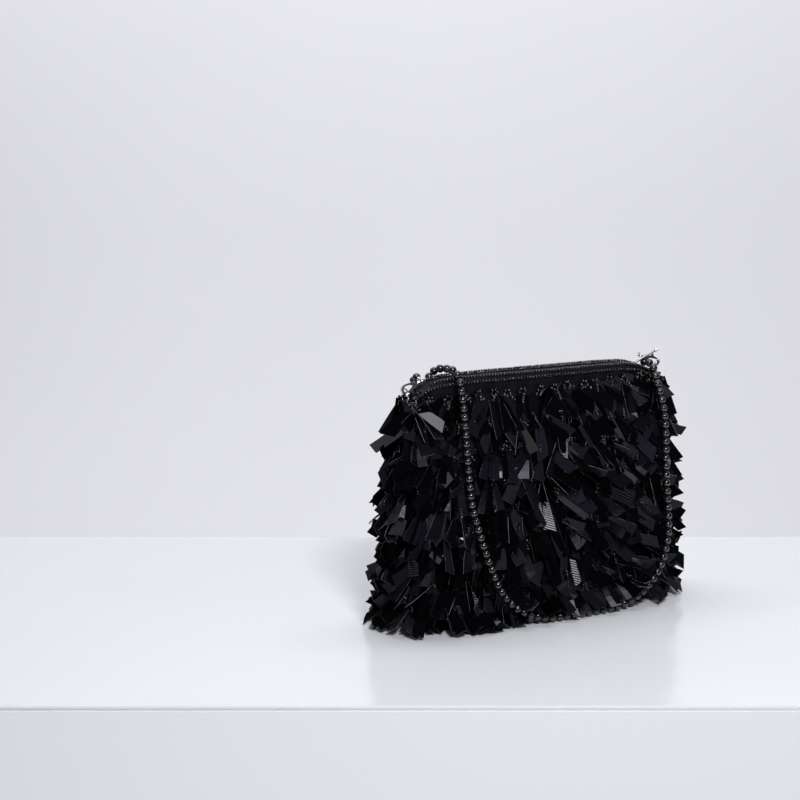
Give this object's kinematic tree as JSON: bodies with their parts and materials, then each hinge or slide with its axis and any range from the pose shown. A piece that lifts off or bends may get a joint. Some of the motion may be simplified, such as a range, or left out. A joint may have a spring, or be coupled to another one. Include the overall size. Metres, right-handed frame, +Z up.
{
  "type": "clutch purse",
  "caption": "Small black evening purse with a zip mouth, rows of long sequins and a beaded strap clipped on with silver clasps.",
  "frame": {"origin": "on the surface the purse stands on, under the middle of the purse's width and depth, with the strap left out", "axes": "+X along the mouth to the right as seen from the front, -Y out of the front face, +Z up"},
  "size_m": [0.225, 0.0853, 0.1849],
  "materials": {
    "satin": "black satin with a soft bluish sheen",
    "lining": "plain dark lining",
    "tape": "woven dark zip tape",
    "sequin": "glossy black sequin",
    "glass_bead": "polished black glass bead",
    "silver": "bright silver-coloured metal",
    "nylon": "dark moulded teeth",
    "board": "stiff paper board"
  },
  "bodies": {
    "purse": {"shell_front_panel": "satin", "shell_back_panel": "satin", "bottom_gusset": "satin", "base_board": "board", "lining_pouch": "lining", "zip_tape_front": "tape", "zip_tape_back": "tape", "zip_teeth_front": "nylon", "zip_teeth_back": "nylon", "zip_top_stop_front": "silver", "zip_top_stop_back": "silver", "zip_bottom_stop": "silver", "zip_end_tab_left": "satin", "zip_end_tab_right": "satin", "hem_beads_front": "glass_bead", "hem_beads_back": "glass_bead", "side_braid_left": "glass_bead", "side_braid_right": "glass_bead", "sequin_row_front_1": "sequin", "sequin_row_front_2": "sequin", "sequin_row_front_3": "sequin", "sequin_row_front_4": "sequin", "sequin_row_front_5": "sequin", "sequin_row_front_6": "sequin", "sequin_row_front_7": "sequin", "sequin_row_front_8": "sequin", "sequin_row_back_1": "sequin", "sequin_row_back_2": "sequin", "sequin_row_back_3": "sequin", "sequin_row_back_4": "sequin", "sequin_row_back_5": "sequin", "sequin_row_back_6": "sequin", "sequin_row_back_7": "sequin", "sequin_row_back_8": "sequin", "corner_tab_left": "satin", "corner_tab_right": "satin", "swivel_eye_left": "silver", "swivel_eye_right": "silver", "strap_end_cap_left": "silver", "strap_end_cap_right": "silver", "bead_strap": "glass_bead"},
    "slider": {"zip_slider": "silver"},
    "pull": {"zip_pull": "silver"},
    "left_ring": {"ring_left": "silver"},
    "right_ring": {"ring_right": "silver"},
    "left_clasp": {"clasp_body_left": "silver", "clasp_pin_left": "silver", "clasp_spring_left": "silver"},
    "right_clasp": {"clasp_body_right": "silver", "clasp_pin_right": "silver", "clasp_spring_right": "silver"},
    "left_lever": {"clasp_lever_left": "silver"},
    "right_lever": {"clasp_lever_right": "silver"}
  },
  "joints": [
    {"name": "zip_slide", "type": "slide", "parent": "purse", "child": "slider", "axis": [-1, 0, 0], "range_m": [0, 0.115]},
    {"name": "pull_swing", "type": "hinge", "parent": "slider", "child": "pull", "pos_m": [0.0855, 0, 0.1704], "axis": [0, -1, 0], "range_deg": [0, 150]},
    {"name": "ring_turn_left", "type": "hinge", "parent": "purse", "child": "left_ring", "pos_m": [-0.09842, 0, 0.1655], "axis": [0, 0, 1], "range_deg": [-6, 6]},
    {"name": "ring_turn_right", "type": "hinge", "parent": "purse", "child": "right_ring", "pos_m": [0.10678, 0, 0.1655], "axis": [0, 0, 1], "range_deg": [-6, 6]},
    {"name": "clasp_swivel_left", "type": "hinge", "parent": "purse", "child": "left_clasp", "pos_m": [-0.0903, -0.00097, 0.17378], "axis": [-0.9052, 0.1, -0.4131], "range_deg": [-8, 8]},
    {"name": "clasp_swivel_right", "type": "hinge", "parent": "purse", "child": "right_clasp", "pos_m": [0.10155, 0.00628, 0.1738], "axis": [0.6038, -0.7246, -0.3321], "range_deg": [-8, 8]},
    {"name": "lever_press_left", "type": "hinge", "parent": "left_clasp", "child": "left_lever", "pos_m": [-0.09187, -0.00099, 0.17188], "axis": [0.1795, 0.971, -0.1581], "range_deg": [0, 13], "stiffness_Nm_per_rad": 0.002, "springref_deg": -17.19},
    {"name": "lever_press_right", "type": "hinge", "parent": "right_clasp", "child": "right_lever", "pos_m": [0.10312, 0.0044, 0.17411], "axis": [0.7682, 0.6402, 0], "range_deg": [0, 13], "stiffness_Nm_per_rad": 0.002, "springref_deg": -17.19}
  ]
}
